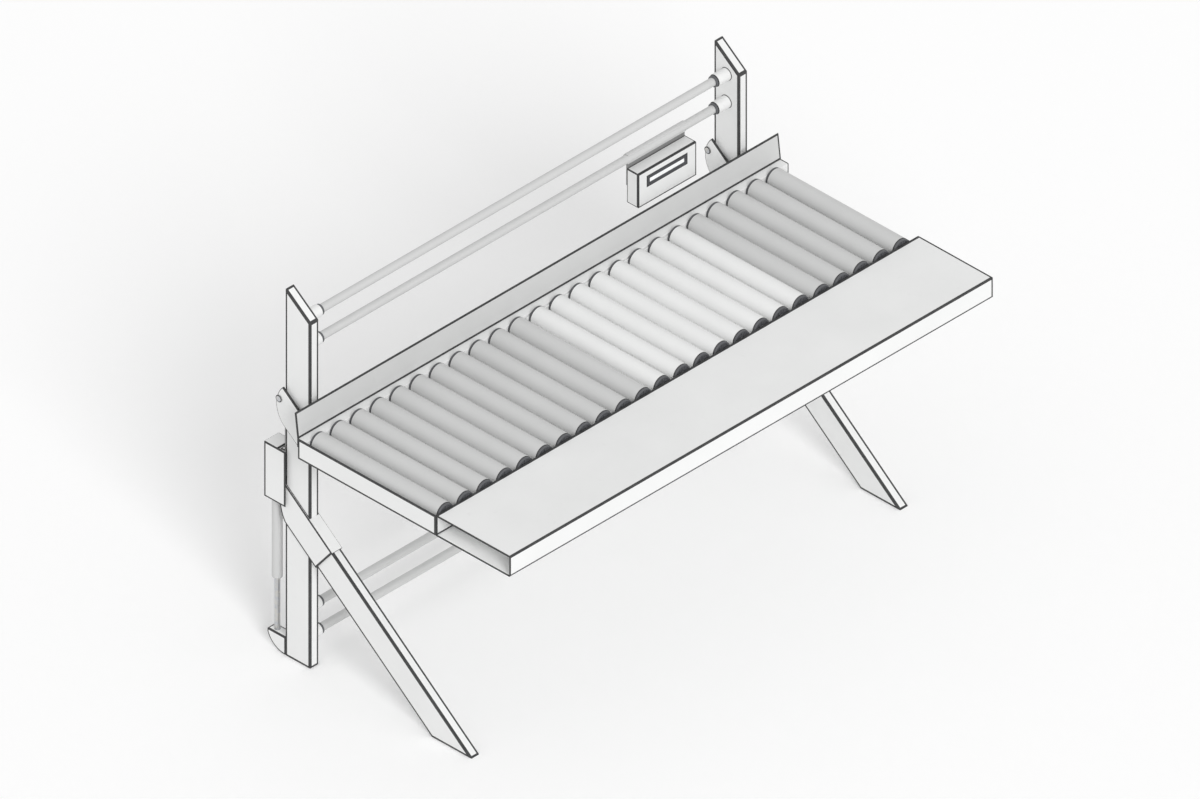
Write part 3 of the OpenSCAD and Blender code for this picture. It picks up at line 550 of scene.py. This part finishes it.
# The tubes take the darker tube coat, painted shade for their outlines.
for node in ("cross_tubes", "actuator_tubes"):
    dressed(node, shaded_tube_coat, 1.2 * mm, 0.0, 6.0 * mm)
dressed("tube_collars", light_coat, 1.2 * mm, 0.0, 9.0 * mm)
for node in ("stand_bolts", "roller_axles", "actuator_rods", "lift_spindle_left", "lift_spindle_right"):
    dressed(node, zinc, 0.8 * mm)
dressed("table_bolts", zinc, 1.2 * mm, 3.0 * mm, 4.5 * mm)
for node in ("collar_rings", "guide_roller_rear_left", "guide_roller_rear_right", "guide_roller_front_left",
             "guide_roller_front_right"):
    dressed(node, black_plastic, 1.0 * mm)
dressed("drive_motors", motor_lacquer, 1.0 * mm)
dressed("load_cells", cell_metal, 0.8 * mm)
dressed("indicator_case", case_plastic, 1.5 * mm, 3.5 * mm, 3.5 * mm)
dressed("indicator_panel", case_plastic, 1.2 * mm, 4.5 * mm, 3.5 * mm)
dressed("indicator_board", board_green, 0.4 * mm)
bracket = dressed("indicator_bracket", bracket_coat, 1.0 * mm)
# The saddle takes the tube coat, with its painted shade.
bracket.data.materials.append(shaded_tube_coat)
saddle_slot = len(bracket.data.materials) - 1
saddle_z = max(vertex.co.z for vertex in bracket.data.vertices) - saddle_height
for face in bracket.data.polygons:
    if face.center.z > saddle_z:
        face.material_index = saddle_slot

# %% [markdown]
# ## Geometry Nodes by script
# A node tree is built once and used by several objects. Its inputs have names. Each object's
# modifier sets them by the socket's identifier, before the tree is first evaluated.

# %% Helpers for node trees
def new_tree(name, inputs):
    """A Geometry Nodes tree with named inputs. Returns it with a function that adds nodes to it."""
    group = bpy.data.node_groups.new(name, "GeometryNodeTree")
    group.interface.new_socket(name="Geometry", in_out="INPUT", socket_type="NodeSocketGeometry")
    for label, kind in inputs:
        group.interface.new_socket(name=label, in_out="INPUT", socket_type="NodeSocket" + kind)
    group.interface.new_socket(name="Geometry", in_out="OUTPUT", socket_type="NodeSocketGeometry")

    def add(kind, settings=None, **links):
        node = group.nodes.new(kind)
        for key, value in (settings or {}).items():
            setattr(node, key, value)
        for label, value in links.items():
            socket = node.inputs[int(label[1:])] if label[0] == "i" and label[1:].isdigit() \
                else node.inputs[label.replace("_", " ")]
            if isinstance(value, bpy.types.NodeSocket):
                group.links.new(value, socket)
            else:
                socket.default_value = value
        return node

    return group, add


def grown(name, base_mesh, group, values):
    """An object of the base mesh with the tree's modifier on it, its inputs set."""
    holder = bpy.data.objects.new(name, base_mesh)
    scene.collection.objects.link(holder)
    modifier = holder.modifiers.new(group.name, "NODES")
    modifier.node_group = group
    for item in group.interface.items_tree:
        if item.in_out == "INPUT" and item.name in values:
            modifier[item.identifier] = values[item.name]
    return holder


# %% [markdown]
# ## The rollers
# A conveyor roller is a steel tube with a plastic bearing housing pressed into each end, which
# turns on a fixed axle. The housing stands a little proud of the tube, has a rim, a hollow ring
# with ribs and a hub with the ball bearing's steel seal. A profile that is turned about the axle
# gives the tube and the two housings, and a node tree sets the ribs round each housing's ring.
# The sizes are read from the CAD roller itself.

# %% Turn a profile and rib a housing
def turned(solid, profile, axis_x, axis_z, start, way, sides):
    """Turns a closed outline of (depth, radius, material) points about a line along Y."""
    rings = []
    for depth, radius, _ in profile:
        ring = []
        for k in range(sides):
            turn = 2 * math.pi * k / sides
            ring.append(solid.verts.new((axis_x + radius * math.cos(turn), start + way * depth,
                                         axis_z + radius * math.sin(turn))))
        rings.append(ring)
    for index, (_, _, finish) in enumerate(profile):
        here, there = rings[index], rings[(index + 1) % len(rings)]
        for k in range(sides):
            face = solid.faces.new((here[k], here[(k + 1) % sides], there[(k + 1) % sides], there[k]))
            face.material_index = finish
            face.smooth = True


rib_tree, add = new_tree("bearing_ribs", [("Count", "Int"), ("Radius", "Float"), ("Rib size", "Vector"),
                                          ("Front", "Vector"), ("Rear", "Vector"), ("Finish", "Material")])
given = add("NodeGroupInput").outputs
points = add("GeometryNodeMeshCircle", Vertices=given["Count"], Radius=given["Radius"])
place = add("GeometryNodeInputPosition")
turn = add("FunctionNodeAlignRotationToVector", {"axis": "X"}, Vector=place.outputs[0])
rib = add("GeometryNodeMeshCube", Size=given["Rib size"])
ribs = add("GeometryNodeInstanceOnPoints", Points=points.outputs[0], Instance=rib.outputs[0],
           Rotation=turn.outputs[0])
whole = add("GeometryNodeRealizeInstances", Geometry=ribs.outputs[0])
join = add("GeometryNodeJoinGeometry")
for end in ("Rear", "Front"):
    upright = add("GeometryNodeTransform", Geometry=whole.outputs[0], Rotation=(math.pi / 2, 0, 0),
                  Translation=given[end])
    rib_tree.links.new(upright.outputs[0], join.inputs[0])
coated = add("GeometryNodeSetMaterial", Geometry=join.outputs[0], Material=given["Finish"])
both = add("GeometryNodeJoinGeometry")
rib_tree.links.new(coated.outputs[0], both.inputs[0])
rib_tree.links.new(given["Geometry"], both.inputs[0])
add("NodeGroupOutput", Geometry=both.outputs[0])

# %% [markdown]
# A profile is a list of points: how deep from the end, how far from the axis, and which finish
# the band has that starts there. The tube gets one closed profile and each housing its own, so
# the three stay separate shells, as they are on the real roller.

# %% Turn the rollers
roller_coat = powder_coat("roller_coat", roller_level, rings=(0.3, 14, 0.3))
roller_light = powder_coat("roller_light", light_level + 1, rings=(0.3, 14, 0.3))
tube_wall, cap_proud, cap_plug, cap_lip = 2.0 * mm, 6.0 * mm, 14.0 * mm, 1.0 * mm
press_gap, bore_radius, hub_radius = 0.1 * mm, 6.05 * mm, 12.0 * mm
ring_depth, rim_width, tube_line, soft = 3.2 * mm, 5.0 * mm, 2.5 * mm, 0.6 * mm
roller_sides, rib_count = 48, 12
# outline marks the bands that take the painted edge shade.
steel, dark, seal, outline = range(4)

roller_nodes = sorted(node for node in nodes if node.startswith("roller_") and node != "roller_axles")
for node in roller_nodes:
    corners = [nodes[node].matrix_world @ Vector(corner) for corner in nodes[node].bound_box]
    low = Vector(min(c[k] for c in corners) for k in range(3))
    high = Vector(max(c[k] for c in corners) for k in range(3))
    axis_x, axis_z, radius = (low.x + high.x) / 2, (low.z + high.z) / 2, (high.z - low.z) / 2
    length = high.y - low.y - 2 * cap_proud
    cap_radius = radius - cap_lip
    ring_in, ring_out = hub_radius, cap_radius - rim_width
    solid = bmesh.new()
    # The bands at the tube's two ends take the painted edge shade, a dark line round each end.
    turned(solid, [(0, radius - tube_wall, outline), (0, radius - soft, outline),
                   (0.3 * soft, radius - 0.3 * soft, outline), (soft, radius, outline),
                   (tube_line, radius, steel), (length - tube_line, radius, outline),
                   (length - soft, radius, outline), (length - 0.3 * soft, radius - 0.3 * soft, outline),
                   (length, radius - soft, outline), (length, radius - tube_wall, steel)],
           axis_x, axis_z, low.y + cap_proud, 1, roller_sides)
    for start, way in ((low.y, 1), (high.y, -1)):
        turned(solid, [(soft, bore_radius, dark), (soft, 0.6 * hub_radius, seal),
                       (soft, 0.9 * hub_radius, dark), (soft, hub_radius - soft, dark),
                       (2 * soft, hub_radius, dark), (ring_depth, ring_in, dark),
                       (ring_depth, ring_out, dark), (soft, ring_out, dark), (0, ring_out + soft, dark),
                       (0, cap_radius - soft, dark),
                       (soft, cap_radius, dark), (cap_proud - press_gap, cap_radius, dark),
                       (cap_proud - press_gap, radius - tube_wall - press_gap, dark),
                       (cap_proud + cap_plug, radius - tube_wall - press_gap, dark),
                       (cap_proud + cap_plug, bore_radius, dark)],
               axis_x, axis_z, start, way, roller_sides)
    bmesh.ops.recalc_face_normals(solid, faces=solid.faces)
    for edge in solid.edges:
        edge.smooth = edge.calc_face_angle(0.0) < sharp_angle
    mesh = bpy.data.meshes.new(node + "_turned")
    solid.to_mesh(mesh)
    solid.free()
    for finish in (roller_light if slot_of[node] == "light_roller" else roller_coat, black_plastic, zinc,
                   edge_shade_finish):
        mesh.materials.append(finish)
    rib_depth = ring_depth - soft
    holder = grown(node + "_turned", mesh, rib_tree, {
        "Count": rib_count, "Radius": (ring_in + ring_out) / 2,
        "Rib size": (ring_out - ring_in, 2.0 * mm, rib_depth),
        "Front": (axis_x, low.y + ring_depth - rib_depth / 2, axis_z),
        "Rear": (axis_x, high.y - ring_depth + rib_depth / 2, axis_z), "Finish": black_plastic})
    piece = finished(node + "_piece", holder, body_of[node], [node])
print(len(roller_nodes), "rollers,", len(piece.data.polygons), "faces in the last one")

# %% [markdown]
# ## Weld seams
# The collars, the leg sockets and the heel brackets are welded to the posts. A weld bead is a row
# of small frozen ripples in the corner between two pieces. Each seam is a path that is read from
# the CAD solids: a circle round a collar, a slope along a socket's cheek, and a line across a
# heel. A node tree sweeps a small round section along the path, and lets its size swell and
# shrink by a sine of the way along it. The seams carry the painted edge shade, so they are darker than the
# coat.

# %% The weld bead's tree
bead_radius, bead_sides = 1.7 * mm, 8
ripple_length, ripple_depth, ripple_steps = 3.2 * mm, 0.16, 4
seam_sides, seam_end, touching = 40, 2 * mm, 0.2 * mm
least_collar, least_slope = 30 * mm, 20 * mm

weld_tree, add = new_tree("weld_bead", [("Bead radius", "Float"), ("Ripple length", "Float"),
                                        ("Ripple depth", "Float"), ("Step", "Float"), ("Sides", "Int"),
                                        ("Finish", "Material")])
given = add("NodeGroupInput").outputs
curve = add("GeometryNodeMeshToCurve", Mesh=given["Geometry"])
even = add("GeometryNodeResampleCurve", {"mode": "LENGTH"}, Curve=curve.outputs[0], Length=given["Step"])
way = add("GeometryNodeSplineParameter")
waves = add("ShaderNodeMath", {"operation": "DIVIDE"}, i0=way.outputs["Length"], i1=given["Ripple length"])
angle = add("ShaderNodeMath", {"operation": "MULTIPLY"}, i0=waves.outputs[0], i1=2 * math.pi)
sine = add("ShaderNodeMath", {"operation": "SINE"}, i0=angle.outputs[0])
swell = add("ShaderNodeMath", {"operation": "MULTIPLY_ADD"}, i0=sine.outputs[0], i1=given["Ripple depth"],
            i2=1.0)
section = add("GeometryNodeCurvePrimitiveCircle", Resolution=given["Sides"], Radius=given["Bead radius"])
bead = add("GeometryNodeCurveToMesh", Curve=even.outputs[0], Profile_Curve=section.outputs[0],
           Scale=swell.outputs[0], Fill_Caps=True)
realized = add("GeometryNodeRealizeInstances", Geometry=bead.outputs[0])
coated = add("GeometryNodeSetMaterial", Geometry=realized.outputs[0], Material=given["Finish"])
add("NodeGroupOutput", Geometry=coated.outputs[0])


# %% [markdown]
# The paths come from the solids themselves. A node may hold several solids, so one helper finds
# the bounding box of each. Another adds a path to one shared list of points and edges, and the
# tree sweeps them all at once.

# %% Lay the seams
def loose_boxes(node):
    """The bounding boxes of a node's separate solids."""
    solid = welded_copy(node)
    unseen = set(solid.verts)
    boxes = []
    while unseen:
        group, front = [], [unseen.pop()]
        while front:
            vert = front.pop()
            group.append(vert.co.copy())
            for edge in vert.link_edges:
                other = edge.other_vert(vert)
                if other in unseen:
                    unseen.remove(other)
                    front.append(other)
        boxes.append((Vector(min(co[k] for co in group) for k in range(3)),
                      Vector(max(co[k] for co in group) for k in range(3))))
    solid.free()
    return boxes


post_boxes = loose_boxes("posts")
seam_points, seam_edges = [], []


def seam(points_, closed=False):
    first = len(seam_points)
    seam_points.extend(points_)
    seam_edges.extend((first + k, first + k + 1) for k in range(len(points_) - 1))
    if closed:
        seam_edges.append((first + len(points_) - 1, first))


for low, high in loose_boxes("tube_collars"):
    radius = (high.z - low.z) / 2
    if high.z - low.z < least_collar:
        continue
    face_x = low.x if abs(low.x) > abs(high.x) else high.x
    seam([(face_x, (low.y + high.y) / 2 + radius * math.cos(2 * math.pi * k / seam_sides),
           (low.z + high.z) / 2 + radius * math.sin(2 * math.pi * k / seam_sides))
          for k in range(seam_sides)], closed=True)

sockets = welded_copy("leg_sockets")
for edge in sockets.edges:
    start, end = sorted((v.co.copy() for v in edge.verts), key=lambda co: co.y)
    if end.y - start.y < least_slope or abs(end.z - start.z) < least_slope:
        continue
    for low, high in post_boxes:
        for face_x in (low.x, high.x):
            if max(abs(start.x - face_x), abs(end.x - face_x)) > touching:
                continue
            from_y, to_y = max(start.y, low.y + seam_end), min(end.y, high.y - seam_end)
            if to_y > from_y:
                seam([tuple(start.lerp(end, (y - start.y) / (end.y - start.y))) for y in (from_y, to_y)])
sockets.free()

for low, high in loose_boxes("heel_brackets"):
    seam([(low.x + seam_end, low.y, high.z), (high.x - seam_end, low.y, high.z)])

seam_mesh = bpy.data.meshes.new("seams")
seam_mesh.from_pydata(seam_points, seam_edges, [])
# The seams take the painted edge shade finish.
holder = grown("seams", seam_mesh, weld_tree, {
    "Bead radius": bead_radius, "Ripple length": ripple_length, "Ripple depth": ripple_depth,
    "Step": ripple_length / ripple_steps, "Sides": bead_sides, "Finish": edge_shade_finish})
welds = finished("stand_welds", holder, "stand")
for face in welds.data.polygons:
    face.use_smooth = True
print("weld seams:", len(seam_edges), "path steps,", len(welds.data.polygons), "faces")

# %% [markdown]
# ## The display window
# The window is a pale pane in a thick black rubber gasket, drawn as a heavy dark frame. The
# gasket is made from its outline: an outer and an inner rounded rectangle are joined by a ring of
# faces, which is then given its depth. It reaches a little over the panel and grips the pane.

# %% Gasket and pane
gasket_width, gasket_over, gasket_proud, gasket_lip = 8.0 * mm, 1.5 * mm, 0.6 * mm, 0.4 * mm
gasket_corner, inner_corner, corner_steps, pane_gap = 3.0 * mm, 1.8 * mm, 5, 0.05 * mm


def rounded_outline(low_x, high_x, low_z, high_z, corner):
    """The points of a rectangle with round corners, going round once."""
    points_ = []
    left, right, bottom, top = low_x + corner, high_x - corner, low_z + corner, high_z - corner
    arcs = ((right, top, 0), (left, top, 90), (left, bottom, 180), (right, bottom, 270))
    for centre_x, centre_z, start in arcs:
        for k in range(corner_steps + 1):
            turn = math.radians(start + 90 * k / corner_steps)
            points_.append((centre_x + corner * math.cos(turn), centre_z + corner * math.sin(turn)))
    return points_


window_low, window_high = loose_boxes("indicator_window")[0]
panel_low, panel_high = loose_boxes("indicator_panel")[0]
front_y = panel_low.y - gasket_proud
outer = rounded_outline(window_low.x - gasket_over, window_high.x + gasket_over, window_low.z - gasket_over,
                        window_high.z + gasket_over, gasket_corner)
inner = rounded_outline(window_low.x + gasket_width, window_high.x - gasket_width,
                        window_low.z + gasket_width, window_high.z - gasket_width, inner_corner)
solid = bmesh.new()
solid.from_mesh(nodes["indicator_window"].data)
bmesh.ops.remove_doubles(solid, verts=solid.verts, dist=2e-6)
for face in solid.faces:
    face.material_index = 0
loops = [[solid.verts.new((x, y, z)) for x, z in points_]
         for y, points_ in ((window_low.y - pane_gap, outer), (front_y + gasket_lip, outer),
                            (front_y, outer), (front_y, inner), (window_low.y - pane_gap, inner))]
for start, end in zip(loops, loops[1:] + loops[:1]):
    for k in range(len(start)):
        face = solid.faces.new((start[k], start[(k + 1) % len(start)], end[(k + 1) % len(start)], end[k]))
        face.material_index = 1
bmesh.ops.recalc_face_normals(solid, faces=solid.faces)
mesh = bpy.data.meshes.new("window_solid")
solid.to_mesh(mesh)
solid.free()
gasket_rubber = moulded_plastic("gasket_rubber", (64, 65, 68), 0.6, 1800.0)
mesh.materials.append(pane_clear)
mesh.materials.append(gasket_rubber)
holder = bpy.data.objects.new("window_solid", mesh)
scene.collection.objects.link(holder)
window = finished("indicator_window_piece", holder, body_of["indicator_window"],
                  ["indicator_window"])
print("window and gasket:", len(window.data.polygons), "faces")
